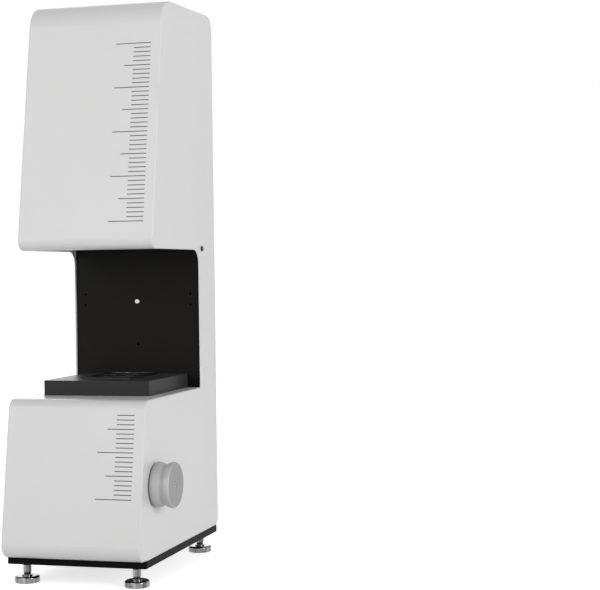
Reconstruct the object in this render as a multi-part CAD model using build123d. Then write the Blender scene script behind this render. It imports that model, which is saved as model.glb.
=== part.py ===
from build123d import *
from math import cos, pi, radians, sin, sqrt, tan
import os

os.makedirs("parts", exist_ok=True)

# A C-shaped video measuring microscope. Sizes are in millimetres.
# Depths run forward from the housing's rear face, heights run up from the bench,
# and widths are centred on the tower's middle plane. The front faces -Y, and the
# lift knob is on the +X side.

# Clearances: a fixed joint, and a turning or sliding one
fixed_fit = 0.02
running_clearance = 0.05

# Levelling feet
foot_gap = 33.0
pad_radius = 20.5
pad_height = 11.0
pad_edge_round = 3.5
socket_boss_radius = 8.5
socket_boss_height = 2.0
ball_radius = 5.0
ball_clearance = 0.06
ball_neck_radius = 3.4
neck_clearance = 0.8
stem_hex_flats = 13.0
stem_hex_height = 11.0
stem_cone_radius = 5.8
stud_radius = 4.0
stud_above_plate = 6.0
lock_nut_height = 4.0
lock_nut_flats = 13.0
foot_side_inset = 25.0
foot_inset = 23.0
foot_rear_depth = 39.0

# Base plate
plate_side_step = 1.5
plate_thickness = 12.0
plate_front_inset = 29.0
plate_rear_inset = 13.0
plate_corner_round = 4.0
plate_edge_chamfer = 0.6

# Housing, one welded sheet shell with a single leaning front
housing_width = 240.0
housing_wall = 2.0
edge_round = 3.0
base_height = 257.0
throat_height = 244.0
head_height = 426.0
column_depth = 88.0
head_depth = 256.0
head_top_fall = 9.0
rear_bottom_round = 13.0
rear_top_round = 25.0
head_front_round = 46.0
head_lip_round = 17.0
throat_top_round = 25.0
throat_foot_round = 3.5
base_top_round = 18.0
base_front_round = 22.0
bottom_flange = 18.0
flange_screw_size = 4.0
flange_screw_depths = (90.0, 190.0, 290.0)
flange_head_depth = 5.0
flange_nut_height = 3.2
flange_hole_gap = 1.0
head_lip_depth = 28.0
head_floor_overlap = 8.0

# Rear cover and its connectors
rear_cover_thickness = 1.5
rear_cover_side_margin = 15.0
rear_cover_bottom_margin = 20.0
rear_cover_top_margin = 32.0
rear_cover_overlap = 12.0
rear_screw_rows = 4
rear_screw_size = 4.0
vent_rows = 9
vent_pitch = 8.0
vent_length = 84.0
vent_width = 3.0
vent_margin = 60.0
connector_height = 95.0
switch_x = 24.0
switch_width = 13.0
switch_height = 19.0
usb_x = -2.0
switch_wall = 1.2
switch_body_depth = 18.0
switch_bezel = 1.5
rocker_pivot_depth = 3.0
rocker_tilt = 10.0
rocker_half_height = 6.6
rocker_half_width = 5.0
rocker_reach = 6.5
rocker_pin_radius = 1.5
usb_width = 12.0
usb_height = 11.0
usb_length = 16.0
usb_mouth_width = 8.6
usb_mouth_height = 7.8
power_x = -27.0
power_radius = 5.5
power_rim = 2.0

# Throat panel, head floor and their screws
panel_recess = 5.0
panel_thickness = 2.0
panel_side_gap = 0.4
panel_below_top = 32.0
accessory_hole_radius = 2.1
accessory_hole_spread = 201.0
accessory_hole_rise = 19.5
accessory_below_head = 87.0
panel_screw_drop = 3.4
lower_hole_drop = 80.7
panel_screw_size = 5.0
cheek_screw_depth = 75.0
cheek_screw_rise = 2.4
cheek_screw_size = 5.0
button_screw_length = 16.0

# Inner frame
post_size = 40.0
post_wall = 3.0
post_side_gap = 58.0
post_rear_depth = 20.0
post_foot = 50.0
post_foot_thickness = 8.0
post_top_gap = 60.0
post_foot_forward = 28.0
frame_screw_size = 6.0
frame_screw_length = 16.0
frame_screw_spread = 12.0
crossbar_height = 38.0
crossbar_side_gap = 0.3
low_crossbar_height = 110.0

# Optics in the head
optical_axis_depth = 172.0
lens_front_radius = 56.0
lens_front_length = 84.0
lens_taper_length = 60.0
lens_rear_radius = 32.0
lens_rear_length = 100.0
lens_wall = 4.0
lens_glass_radius = 50.0
lens_glass_thickness = 14.0
lens_above_floor = 4.0
mount_ring_radius = 16.0
mount_ring_height = 12.0
camera_size = 44.0
camera_length = 58.0
lens_plate_thickness = 10.0
lens_plate_overhang = 30.0
lens_plate_margin = 12.0
clamp_thickness = 18.0
clamp_wall = 11.0
clamp_screw_x = 20.0
plate_screw_rise = 32.0
ring_light_inner = 60.0
ring_light_outer = 82.0
ring_light_height = 20.0
ring_light_wall = 3.0
ring_light_leds = 24

# Stage
stage_width = 189.0
stage_front_depth = 280.0
stage_rise = 25.0
stage_wall = 2.0
stage_top_wall = 4.0
stage_gap = 1.5
stage_rear_gap = 2.0
stage_edge_round = 1.6
bed_thickness = 10.0
bed_clearance = 9.0
knee_thickness = 10.0
knee_half = 80.0
knee_screw_x = 50.0
gusset_thickness = 6.0
gusset_reach = 50.0
boss_radius = 6.0
boss_inset = 9.0
stage_screw_size = 5.0
stage_screw_length = 16.0
glass_frame_width = 90.0
glass_frame_length = 131.0
glass_frame_height = 3.0
glass_frame_rim = 5.0
glass_plug = 1.5
glass_ledge = 2.0
glass_thickness = 5.0
glass_gap = 0.3
glass_sink = 0.4
backlight_wall = 3.0
backlight_margin = 4.0
backlight_clearance = 3.0
diffuser_thickness = 3.0
board_thickness = 1.6
backlight_columns = 5
backlight_rows = 7
led_size = 4.0

# Lift: knob, shaft, mitre gears, lead screw and guide rods
stage_to_block = 22.0
screw_inset = 21.5
lift_front_gap = 52.0
bridge_front_gap = 12.3
knob_axis_height = 117.0
lift_up = 25.0
screw_radius = 7.0
journal_radius = 6.0
journal_clearance = 0.03
bearing_radius = 14.0
bearing_width = 8.0
rod_radius = 6.0
rod_x = 70.0
rod_forward = 14.5
bushing_radius = 10.5
bushing_length = 30.0
block_half_width = 86.0
block_depth = 50.0
foot_block_height = 18.0
bridge_thickness = 12.0
bridge_gap = 9.0
bridge_rear_gap = 1.5
carriage_height = 42.0
nut_radius = 12.0
nut_flange_radius = 18.5
nut_flange_height = 5.0
lift_end_gap = 4.0
rod_socket_floor = 5.0
counterbore_depth = 8.0
block_rear_screw_x = 80.0
block_front_screw_x = 20.0
block_screw_inset = 8.0
bracket_x = 48.0
bracket_thickness = 12.0
bracket_foot = 20.0
bracket_foot_thickness = 8.0
bracket_half_depth = 20.0
gear_module = 1.5
gear_teeth = 20
gear_face = 7.0
gear_hub_radius = 11.0
gear_hub_length = 10.0
gear_tooth_thinning = 0.17
gear_pressure_angle = 20.0
bush_radius = 11.0
bush_flange_radius = 15.0
bush_flange_thickness = 4.0

# Knob
knob_radius = 37.0
knob_waist_radius = 33.4
knob_width = 33.5
knob_side_gap = 1.8
knob_rim = 4.0
knob_rim_fall = 1.6
knob_screw_size = 5.0
knob_cap_radius = 5.0
knob_cap_recess = 3.0
knob_web = 6.0

# Controller board
controller_width = 110.0
controller_length = 80.0
controller_depth = 120.0
standoff_height = 12.0
standoff_radius = 3.5
standoff_pin_radius = 1.5
standoff_inset = 6.0
chip_size = 28.0
chip_height = 3.0
heat_sink_width = 20.0
heat_sink_inset = 11.0
heat_sink_height = 16.0
plug_width = 20.0
plug_length = 12.0
plug_inset = 9.0
plug_height = 9.0
board_edge_margin = 14.0

# Derived places
block_rear_depth = stage_front_depth + stage_to_block
block_front_depth = block_rear_depth + block_depth
lift_axis_depth = block_rear_depth + screw_inset
plate_top = foot_gap + plate_thickness
base_top = plate_top + base_height
head_bottom = base_top + throat_height
head_top = head_bottom + head_height
bridge_top = base_top - housing_wall - bridge_gap
bridge_low = bridge_top - bridge_thickness
bridge_share = (bridge_top - plate_top) / (head_top - head_top_fall - plate_top)
front_at_bridge = block_front_depth + bridge_front_gap
foot_depth_for_bridge = (front_at_bridge - bridge_share * head_depth) / (1 - bridge_share)
foot_depth = max(block_front_depth + lift_front_gap, foot_depth_for_bridge)
front_lean = (foot_depth - head_depth) / (head_top - head_top_fall - plate_top)
plate_half_width = housing_width / 2 + plate_side_step
plate_front_depth = foot_depth - plate_front_inset
foot_x = plate_half_width - foot_side_inset
foot_front_depth = plate_front_depth - foot_inset
inner_half = housing_width / 2 - housing_wall
post_x = inner_half - post_side_gap
lens_plate_half_width = post_x + lens_plate_overhang
panel_face = column_depth - panel_recess
panel_back = panel_face - panel_thickness
floor_low = head_bottom + housing_wall
floor_high = floor_low + panel_thickness
post_front_depth = post_rear_depth + post_size
stage_top = base_top + stage_rise
stage_rear_depth = panel_face + stage_rear_gap
bed_top = base_top - housing_wall - lift_up - bed_clearance
lift_y = -lift_axis_depth
rod_y = lift_y - rod_forward
shaft_z = plate_top + knob_axis_height
foot_block_top = plate_top + foot_block_height
block_rear_row = -(block_rear_depth + block_screw_inset)
block_front_row = -(block_front_depth - block_screw_inset)
block_screw_places = [(side * block_rear_screw_x, block_rear_row) for side in (-1, 1)]
block_screw_places += [(side * block_front_screw_x, block_front_row) for side in (-1, 1)]
carriage_top = bridge_low - nut_flange_height - lift_up - lift_end_gap
carriage_low = carriage_top - carriage_height
knob_inner_x = housing_width / 2 + knob_side_gap
knob_outer_x = knob_inner_x + knob_width
gear_pitch_radius = gear_module * gear_teeth / 2


def front_depth(height):
    return foot_depth - front_lean * (height - plate_top)


def block(x0, x1, depth0, depth1, z0, z1):
    centre = Pos((x0 + x1) / 2, -(depth0 + depth1) / 2, (z0 + z1) / 2)
    return centre * Box(abs(x1 - x0), abs(depth1 - depth0), abs(z1 - z0))


def rod_z(radius, z0, z1, x=0.0, y=0.0):
    return Pos(x, y, (z0 + z1) / 2) * Cylinder(radius, z1 - z0)


def rod_x_axis(radius, x0, x1, y, z):
    return Pos((x0 + x1) / 2, y, z) * Rot(0, 90, 0) * Cylinder(radius, x1 - x0)


def rod_y_axis(radius, depth0, depth1, x, z):
    middle = -(depth0 + depth1) / 2
    return Pos(x, middle, z) * Rot(90, 0, 0) * Cylinder(radius, abs(depth1 - depth0))


def turned(points):
    """A solid of revolution about Z from (radius, height) points."""
    return revolve(Plane.XZ * make_face(Polyline(*points, close=True)), Axis.Z)


def screw(size, length):
    """A button-head socket screw: head above z = 0, shank below it."""
    head_radius = 0.95 * size
    head_height = 0.55 * size
    head = rod_z(head_radius, 0, head_height)
    head = fillet(head.edges().sort_by(Axis.Z)[-1], 0.6 * head_height)
    socket = Pos(0, 0, head_height) * extrude(RegularPolygon(0.34 * size, 6), -0.35 * size)
    return head + rod_z(size / 2, -length, 0) - socket


def hexagon(flats, z0, z1, x=0.0, y=0.0):
    side = RegularPolygon(flats / 2, 6, major_radius=False)
    return Pos(x, y, z0) * extrude(side, z1 - z0)


# Feet

foot_places = {
    "front_left": (-foot_x, -foot_front_depth),
    "front_right": (foot_x, -foot_front_depth),
    "rear_left": (-foot_x, -foot_rear_depth),
    "rear_right": (foot_x, -foot_rear_depth),
}
ball_height = pad_height + socket_boss_height - ball_radius - 0.4
hex_top = foot_gap - lock_nut_height - 0.3
hex_low = hex_top - stem_hex_height
shoulder = pad_height + socket_boss_height + 0.5


def foot_pad(x, y):
    """Chromed disc with a ball socket in its raised boss."""
    disc = rod_z(pad_radius, 0, pad_height)
    rims = disc.edges().filter_by(GeomType.CIRCLE)
    disc = fillet(rims.sort_by(Axis.Z)[-1], pad_edge_round)
    lower_rim = disc.edges().filter_by(GeomType.CIRCLE).sort_by(Axis.Z)[0]
    disc = fillet(lower_rim, pad_edge_round / 2)
    boss_top = pad_height + socket_boss_height
    boss = rod_z(socket_boss_radius, pad_height - 1, boss_top)
    socket = Pos(0, 0, ball_height) * Sphere(ball_radius + ball_clearance)
    mouth = rod_z(ball_neck_radius + neck_clearance, ball_height, boss_top + 1)
    return Pos(x, y, 0) * (disc + boss - socket - mouth)


def foot_stem(x, y):
    """Ball, neck, spanner hexagon and threaded stud in one turned piece."""
    ball = Pos(0, 0, ball_height) * Sphere(ball_radius)
    neck = rod_z(ball_neck_radius, ball_height, shoulder + 1)
    cone = Cone(stem_cone_radius, stem_hex_flats / 2, hex_low - shoulder)
    cone = Pos(0, 0, (shoulder + hex_low) / 2) * cone
    hexagonal = hexagon(stem_hex_flats, hex_low, hex_top)
    stud = rod_z(stud_radius, hex_top - 1, plate_top + stud_above_plate)
    stud = chamfer(stud.edges().sort_by(Axis.Z)[-1], 0.8)
    return Pos(x, y, 0) * (ball + neck + cone + hexagonal + stud)


def foot_lock_nuts():
    nuts = []
    for x, y in foot_places.values():
        nut = hexagon(lock_nut_flats, foot_gap - lock_nut_height, foot_gap, x, y)
        nuts.append(nut - rod_z(stud_radius + running_clearance, 0, foot_gap + 1, x, y))
    return Compound(nuts)


# Base plate, with the screws that hold the housing's bottom flange

flange_screw_x = housing_width / 2 - housing_wall - bottom_flange / 2
flange_screw_places = [(side * flange_screw_x, -depth) for side in (-1, 1) for depth in flange_screw_depths]


def base_plate():
    half = plate_half_width
    plate = block(-half, half, plate_rear_inset, plate_front_depth, foot_gap, plate_top)
    plate = fillet(plate.edges().filter_by(Axis.Z), plate_corner_round)
    rim = plate.faces().sort_by(Axis.Z)[0].edges() + plate.faces().sort_by(Axis.Z)[-1].edges()
    plate = chamfer(rim, plate_edge_chamfer)
    for x, y in foot_places.values():
        plate -= rod_z(stud_radius + running_clearance, 0, plate_top + 1, x, y)
    for x, y in flange_screw_places:
        plate -= rod_z(flange_screw_size / 2 + 0.1, 0, plate_top + 1, x, y)
        plate -= rod_z(flange_screw_size, 0, foot_gap + flange_head_depth, x, y)
    for x, y in frame_screw_places() + block_screw_places:
        plate -= rod_z(frame_screw_size / 2 + fixed_fit, foot_gap + 2, plate_top + 1, x, y)
    return plate


def housing_screws():
    screws = []
    head_seat = foot_gap + flange_head_depth
    length = plate_top + housing_wall + flange_nut_height + 1 - head_seat
    nut_low = plate_top + housing_wall
    for x, y in flange_screw_places:
        screws.append(Pos(x, y, head_seat) * Rot(180, 0, 0) * screw(flange_screw_size, length))
        nut = hexagon(1.75 * flange_screw_size, nut_low, nut_low + flange_nut_height, x, y)
        screws.append(nut - rod_z(flange_screw_size / 2 + fixed_fit, 0, nut_low + 10, x, y))
    return Compound(screws)


# Housing

rear_cover_low = plate_top + rear_cover_bottom_margin
rear_cover_high = head_top - rear_cover_top_margin
rear_cover_half = housing_width / 2 - rear_cover_side_margin
rear_screw_inset = rear_cover_overlap / 2
lip_start = front_depth(head_bottom) - head_lip_depth
stage_half = stage_width / 2
cheek_screw_z = head_bottom + cheek_screw_rise


def tower_outline():
    """The C-shaped side view, closed, with every rolled corner."""
    corners = [
        (0, plate_top, rear_bottom_round),
        (0, head_top, rear_top_round),
        (head_depth, head_top - head_top_fall, head_front_round),
        (front_depth(head_bottom), head_bottom, head_lip_round),
        (column_depth, head_bottom, throat_top_round),
        (column_depth, base_top, throat_foot_round),
        (front_depth(base_top), base_top, base_top_round),
        (foot_depth, plate_top, base_front_round),
    ]
    points = [(-depth, height) for depth, height, radius in corners]
    radii = [radius for depth, height, radius in corners]
    return Plane.YZ * make_face(FilletPolyline(*points, radius=radii, close=True))


def rear_screw_places():
    places = []
    span = rear_cover_high - rear_cover_low - 2 * rear_screw_inset
    for row in range(rear_screw_rows):
        height = rear_cover_low + rear_screw_inset + span * row / (rear_screw_rows - 1)
        for side in (-1, 1):
            places.append((side * (rear_cover_half - rear_screw_inset), height))
    return places


def housing():
    side = housing_width / 2
    outline = tower_outline()
    outer = extrude(outline, side, both=True)
    rims = outer.edges().filter_by_position(Axis.X, side - 0.01, side + 0.01)
    rims += outer.edges().filter_by_position(Axis.X, -side - 0.01, -side + 0.01)
    outer = fillet(rims, edge_round)
    sill_front = plate_front_depth - plate_corner_round
    outer += block(-side, side, rear_bottom_round, sill_front, plate_top, plate_top + edge_round)
    inner_outline = offset(outline, -housing_wall, kind=Kind.INTERSECTION)
    shell = outer - extrude(inner_outline, inner_half, both=True)
    return housing_cut_outs(shell)


def housing_cut_outs(shell):
    side = housing_width / 2
    inside = inner_half - bottom_flange
    flange_front = plate_front_depth - bottom_flange
    flange_top = plate_top + housing_wall + 1
    shell -= block(-inside, inside, rear_bottom_round + 1, flange_front, plate_top - 1, flange_top)
    rear_half = rear_cover_half - rear_cover_overlap
    rear_low = rear_cover_low + rear_cover_overlap
    rear_high = rear_cover_high - rear_cover_overlap
    shell -= block(-rear_half, rear_half, -1, housing_wall + 1, rear_low, rear_high)
    throat_rear = column_depth - housing_wall - 1
    shell -= block(-inner_half, inner_half, throat_rear, lip_start, base_top, floor_low + 0.5)
    stage_hole = stage_half + stage_gap
    stage_hole_front = stage_front_depth + stage_gap
    hole_low = base_top - housing_wall - 1
    shell -= block(-stage_hole, stage_hole, throat_rear, stage_hole_front, hole_low, base_top + 1)
    shell -= rod_x_axis(bush_radius + fixed_fit, inner_half - 1, side + 1, lift_y, shaft_z)
    screw_hole = cheek_screw_size / 2 + fixed_fit
    shell -= rod_x_axis(screw_hole, -side - 1, side + 1, -cheek_screw_depth, cheek_screw_z)
    for x, z in rear_screw_places():
        shell -= rod_y_axis(rear_screw_size / 2 + fixed_fit, -1, housing_wall + 1, x, z)
    for x, y in flange_screw_places:
        shell -= rod_z(flange_screw_size / 2 + 0.1, plate_top - 1, flange_top, x, y)
    for x, y in foot_places.values():
        shell -= rod_z(stud_radius + flange_hole_gap, plate_top - 1, flange_top, x, y)
    return shell


def cheek_screws():
    side = housing_width / 2
    one = screw(cheek_screw_size, button_screw_length)
    right = Pos(side, -cheek_screw_depth, cheek_screw_z) * Rot(0, 90, 0) * one
    left = Pos(-side, -cheek_screw_depth, cheek_screw_z) * Rot(0, -90, 0) * one
    return Compound([right, left])


# Rear cover, its screws and the connectors

connector_z = plate_top + connector_height
cover_face = -rear_cover_thickness


def socket_block(x, width, height, depth0, depth1):
    """A block centred on the row of connectors."""
    low = connector_z - height / 2
    return block(x - width / 2, x + width / 2, depth0, depth1, low, low + height)


def vent_slots(low):
    slots = []
    for row in range(vent_rows):
        slot = SlotOverall(vent_length, vent_width)
        place = Pos(0, rear_cover_thickness + 1, low + row * vent_pitch) * Rot(90, 0, 0)
        slots.append(place * extrude(slot, rear_cover_thickness + 2))
    return slots


def rear_cover():
    cover = block(-rear_cover_half, rear_cover_half, cover_face, 0, rear_cover_low, rear_cover_high)
    cover = fillet(cover.edges().filter_by(Axis.Y), plate_corner_round)
    outer_face = cover.faces().sort_by(Axis.Y)[-1]
    cover = chamfer(outer_face.edges(), rear_cover_thickness / 3)
    vent_span = (vent_rows - 1) * vent_pitch
    cover -= vent_slots(rear_cover_high - vent_margin - vent_span)
    cover -= vent_slots(connector_z + vent_margin)
    for x, z in rear_screw_places():
        cover -= rod_y_axis(rear_screw_size / 2 + fixed_fit, cover_face - 1, 1, x, z)
    cover -= socket_block(switch_x, switch_width, switch_height, cover_face - 1, 1)
    cover -= socket_block(usb_x, usb_width, usb_height, cover_face - 1, 1)
    cover -= rod_y_axis(power_radius + fixed_fit, cover_face - 1, 1, power_x, connector_z)
    return cover


def rear_cover_screws():
    screws = []
    for x, z in rear_screw_places():
        place = Pos(x, rear_cover_thickness, z) * Rot(-90, 0, 0)
        screws.append(place * screw(rear_screw_size, 6))
    return Compound(screws)


def usb_socket():
    shell = socket_block(usb_x, usb_width, usb_height, cover_face - 0.4, usb_length)
    mouth = socket_block(usb_x, usb_mouth_width, usb_mouth_height, cover_face - 1, usb_length - 4)
    tongue = socket_block(usb_x, usb_mouth_width * 0.66, usb_mouth_height * 0.4, 1, usb_length - 3)
    return shell - mouth + tongue


def power_socket():
    flange_radius = power_radius + power_rim
    flange = rod_y_axis(flange_radius, cover_face - 1.5, cover_face, power_x, connector_z)
    body = rod_y_axis(power_radius, cover_face - 1, 14, power_x, connector_z)
    nut = rod_y_axis(flange_radius, 0, 3, power_x, connector_z)
    bore = rod_y_axis(power_radius / 2 + 0.4, cover_face - 2, 9, power_x, connector_z)
    pin = rod_y_axis(1.0, 0, 10, power_x, connector_z)
    return flange + body + nut - bore + pin


def switch_frame():
    width = switch_width - 2 * fixed_fit
    height = switch_height - 2 * fixed_fit
    rim = 2 * switch_bezel
    wall = 2 * switch_wall
    bezel = socket_block(switch_x, width + rim, height + rim, cover_face - switch_wall, cover_face)
    body = socket_block(switch_x, width, height, cover_face - 1, switch_body_depth)
    cavity = socket_block(switch_x, width - wall, height - wall, cover_face - 2, switch_body_depth - 3)
    pin_hole = rod_x_axis(rocker_pin_radius + running_clearance, switch_x - width / 2, switch_x + width / 2,
                          -rocker_pivot_depth, connector_z)
    return bezel + body - cavity - pin_hole


def power_rocker():
    """Rocker with two faces in a shallow V, tilted to off."""
    reach = rocker_reach
    half = rocker_half_height
    points = [(reach, half), (reach - 1.3, 0), (reach, -half), (0, -3.2), (-3, 0), (0, 3.2)]
    face = Plane.YZ * make_face(Polyline(*points, close=True))
    body = extrude(face, rocker_half_width, both=True)
    pin_reach = switch_width / 2 - 0.4
    pins = Rot(0, 90, 0) * Cylinder(rocker_pin_radius, 2 * pin_reach)
    place = Pos(switch_x, -rocker_pivot_depth, connector_z) * Rot(-rocker_tilt, 0, 0)
    return place * (body + pins)


# Inner frame

def frame_screw_places():
    places = []
    for side in (-1, 1):
        for offset_x in (-frame_screw_spread, frame_screw_spread):
            place_y = -(post_front_depth + post_foot_forward - 12)
            places.append((side * post_x + offset_x, place_y))
    return places


def frame_post(side):
    """Square tube welded to a foot that bolts to the base plate."""
    x = side * post_x
    half = post_size / 2
    top = head_top - post_top_gap
    tube = block(x - half, x + half, post_rear_depth, post_front_depth, plate_top, top)
    bore = half - post_wall
    hollow = block(x - bore, x + bore, post_rear_depth + post_wall, post_front_depth - post_wall,
                   plate_top + post_foot_thickness, top + 1)
    foot_half = post_foot / 2
    foot_rear = post_rear_depth - (post_foot - post_size) / 2
    foot = block(x - foot_half, x + foot_half, foot_rear, post_front_depth + post_foot_forward,
                 plate_top, plate_top + post_foot_thickness)
    post = tube + foot - hollow
    hole = frame_screw_size / 2 + fixed_fit
    for place_x, place_y in frame_screw_places():
        post -= rod_z(hole, plate_top - 1, plate_top + post_foot_thickness + 1, place_x, place_y)
    for place_x, z in lens_plate_screw_places():
        post -= rod_y_axis(hole, post_front_depth - post_wall - 1, post_front_depth + 1, place_x, z)
    return post


def lens_plate_screw_places():
    middle = (low_clamp_z + high_clamp_z) / 2
    return [(x, middle + rise) for x in (-post_x, post_x) for rise in (-plate_screw_rise, plate_screw_rise)]


def clamp_screw_places():
    return [(x, z) for x in (-clamp_screw_x, clamp_screw_x) for z in (low_clamp_z, high_clamp_z)]


def frame_screws():
    """One size of screw for the posts, the lens plate, its clamps and the lift's foot block."""
    one = screw(frame_screw_size, frame_screw_length)
    screws = [Pos(x, y, plate_top + post_foot_thickness) * one for x, y in frame_screw_places()]
    screws += [Pos(x, y, foot_block_top - counterbore_depth) * one for x, y in block_screw_places]
    screws += [Pos(x, -clamp_rear, z) * Rot(90, 0, 0) * one for x, z in lens_plate_screw_places()]
    screws += [Pos(x, -post_front_depth, z) * Rot(-90, 0, 0) * one for x, z in clamp_screw_places()]
    return Compound(screws)


accessory_z = head_bottom - accessory_below_head
panel_screw_z = accessory_z - panel_screw_drop
lower_hole_z = accessory_z - lower_hole_drop


def accessory_places():
    half_x = accessory_hole_spread / 2
    half_z = accessory_hole_rise / 2
    return [(x, accessory_z + dz) for x in (-half_x, half_x) for dz in (-half_z, half_z)]


def crossbar(height):
    half = inner_half - crossbar_side_gap
    low = height - crossbar_height / 2
    return block(-half, half, post_front_depth, panel_back, low, low + crossbar_height)


def frame_crossbars():
    """Four bars across the posts; the throat panel and the cheeks screw to them."""
    low = crossbar(plate_top + low_crossbar_height)
    middle = crossbar(lower_hole_z)
    middle -= rod_y_axis(accessory_hole_radius, panel_back - 12, panel_back + 1, 0, lower_hole_z)
    upper = crossbar(accessory_z)
    for x, z in accessory_places():
        upper -= rod_y_axis(accessory_hole_radius, panel_back - 12, panel_back + 1, x, z)
    upper -= rod_y_axis(panel_screw_size / 2 + fixed_fit, panel_back - 15, panel_back + 1, 0, panel_screw_z)
    top = crossbar(cheek_screw_z)
    cheek_hole = cheek_screw_size / 2 + fixed_fit
    for side in (-1, 1):
        end = side * inner_half
        hole_middle = end - side * 8
        top -= rod_x_axis(cheek_hole, hole_middle - 8, hole_middle + 8, -cheek_screw_depth, cheek_screw_z)
    return Compound([low, middle, upper, top])


def throat_panel():
    half = inner_half - panel_side_gap
    panel = block(-half, half, panel_back, panel_face, base_top - panel_below_top, floor_low)
    for x, z in accessory_places():
        panel -= rod_y_axis(accessory_hole_radius, panel_back - 1, panel_face + 1, x, z)
    panel -= rod_y_axis(accessory_hole_radius, panel_back - 1, panel_face + 1, 0, lower_hole_z)
    panel -= rod_y_axis(panel_screw_size / 2 + fixed_fit, panel_back - 1, panel_face + 1, 0, panel_screw_z)
    return panel


def button_screws():
    """One size of bright screw for the throat panel and the knob shaft's bracket."""
    one = screw(panel_screw_size, button_screw_length)
    screws = [Pos(0, -panel_face, panel_screw_z) * Rot(90, 0, 0) * one]
    screws += [Pos(x, y, foot_block_top + bracket_foot_thickness) * one for x, y in bracket_screw_places()]
    return Compound(screws)


# Head: floor plate, ring light, lens and camera

floor_hole_radius = ring_light_outer - ring_light_wall - 1
axis_y = -optical_axis_depth
lens_low = floor_high + lens_above_floor
lens_shoulder = lens_low + lens_front_length
lens_neck = lens_shoulder + lens_taper_length
lens_top = lens_neck + lens_rear_length
camera_low = lens_top + mount_ring_height
low_clamp_z = lens_low + lens_front_length / 2
high_clamp_z = lens_neck + lens_rear_length / 2
clamp_rear = post_front_depth + lens_plate_thickness


def head_floor():
    half = inner_half - panel_side_gap
    plate = block(-half, half, panel_back + 0.3, lip_start + head_floor_overlap, floor_low, floor_high)
    return plate - rod_z(floor_hole_radius, floor_low - 1, floor_high + 1, 0, axis_y)


def ring_light_housing():
    """Annular channel, open downwards."""
    top = floor_high + ring_light_height
    ring = rod_z(ring_light_outer, floor_high, top) - rod_z(ring_light_inner, floor_high - 1, top + 1)
    channel_outer = ring_light_outer - ring_light_wall
    channel_inner = ring_light_inner + ring_light_wall
    channel = rod_z(channel_outer, floor_high - 1, top - ring_light_wall)
    channel -= rod_z(channel_inner, floor_high - 2, top)
    return Pos(0, axis_y, 0) * (ring - channel)


def ring_in_channel(z0, z1):
    outer = ring_light_outer - ring_light_wall - fixed_fit
    inner = ring_light_inner + ring_light_wall + fixed_fit
    return rod_z(outer, z0, z1) - rod_z(inner, z0 - 1, z1 + 1)


def ring_light_board():
    top = floor_high + ring_light_height - ring_light_wall
    board = ring_in_channel(top - board_thickness, top)
    middle = (ring_light_outer + ring_light_inner) / 2
    for index in range(ring_light_leds):
        turn = Rot(0, 0, 360 * index / ring_light_leds)
        board += turn * Pos(middle, 0, top - board_thickness - 0.5) * Box(3.5, 3.5, 1.4)
    return Pos(0, axis_y, 0) * board


def ring_light_diffuser():
    return Pos(0, axis_y, 0) * ring_in_channel(floor_high + 1, floor_high + 3.5)


def lens_barrel():
    front = lens_front_radius
    rear = lens_rear_radius
    front_bore = front - lens_wall
    rear_bore = rear - lens_wall
    lip = lens_glass_radius - 3
    camera_bore = mount_ring_radius - lens_wall
    points = [
        (lip, lens_low), (front, lens_low), (front, lens_shoulder), (rear, lens_neck), (rear, lens_top),
        (camera_bore, lens_top), (camera_bore, lens_top - lens_wall),
        (rear_bore, lens_top - lens_wall), (rear_bore, lens_neck), (front_bore, lens_shoulder),
        (front_bore, lens_low + lens_wall + lens_glass_thickness),
        (lens_glass_radius + fixed_fit, lens_low + lens_wall + lens_glass_thickness),
        (lens_glass_radius + fixed_fit, lens_low + lens_wall), (lip, lens_low + lens_wall),
    ]
    return Pos(0, axis_y, 0) * turned(points)


def lens_glass():
    low = lens_low + lens_wall
    glass = rod_z(lens_glass_radius, low, low + lens_glass_thickness)
    glass = chamfer(glass.edges().filter_by(GeomType.CIRCLE), 1)
    return Pos(0, axis_y, 0) * glass


def camera_mount_ring():
    ring = rod_z(mount_ring_radius, lens_top, camera_low)
    ring -= rod_z(mount_ring_radius - lens_wall, lens_top - 1, camera_low + 1)
    return Pos(0, axis_y, 0) * ring


def camera_body():
    half = camera_size / 2
    body = Pos(0, 0, camera_low + camera_length / 2) * Box(camera_size, camera_size, camera_length)
    body = fillet(body.edges().filter_by(Axis.Z), 3)
    socket = Pos(0, half / 2, camera_low + camera_length) * Box(14, 10, 6)
    return Pos(0, axis_y, 0) * (body + socket)


def lens_clamp(radius, height):
    low = height - clamp_thickness / 2
    high = height + clamp_thickness / 2
    outer = radius + clamp_wall
    arm = block(-outer, outer, clamp_rear, optical_axis_depth, low, high)
    clamp = arm + rod_z(outer, low, high, 0, axis_y)
    clamp -= rod_z(radius + fixed_fit, low - 1, high + 1, 0, axis_y)
    tapped_end = post_front_depth + frame_screw_length + 1
    for x, z in clamp_screw_places():
        clamp -= rod_y_axis(frame_screw_size / 2 + fixed_fit, clamp_rear - 1, tapped_end, x, z)
    return clamp


def lens_clamps():
    return Compound([lens_clamp(lens_front_radius, low_clamp_z), lens_clamp(lens_rear_radius, high_clamp_z)])


def lens_plate():
    reach = clamp_thickness / 2 + lens_plate_margin
    plate = block(-lens_plate_half_width, lens_plate_half_width, post_front_depth, clamp_rear,
                  low_clamp_z - reach, high_clamp_z + reach)
    for x, z in lens_plate_screw_places() + clamp_screw_places():
        plate -= rod_y_axis(frame_screw_size / 2 + fixed_fit, post_front_depth - 1, clamp_rear + 1, x, z)
    return plate


# Lift, fixed pieces

rod_places = [(-rod_x, rod_y), (rod_x, rod_y)]
bearing_seat = bearing_radius + fixed_fit
rod_bore = rod_radius + fixed_fit
foot_bearing_low = foot_block_top - bearing_width


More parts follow.
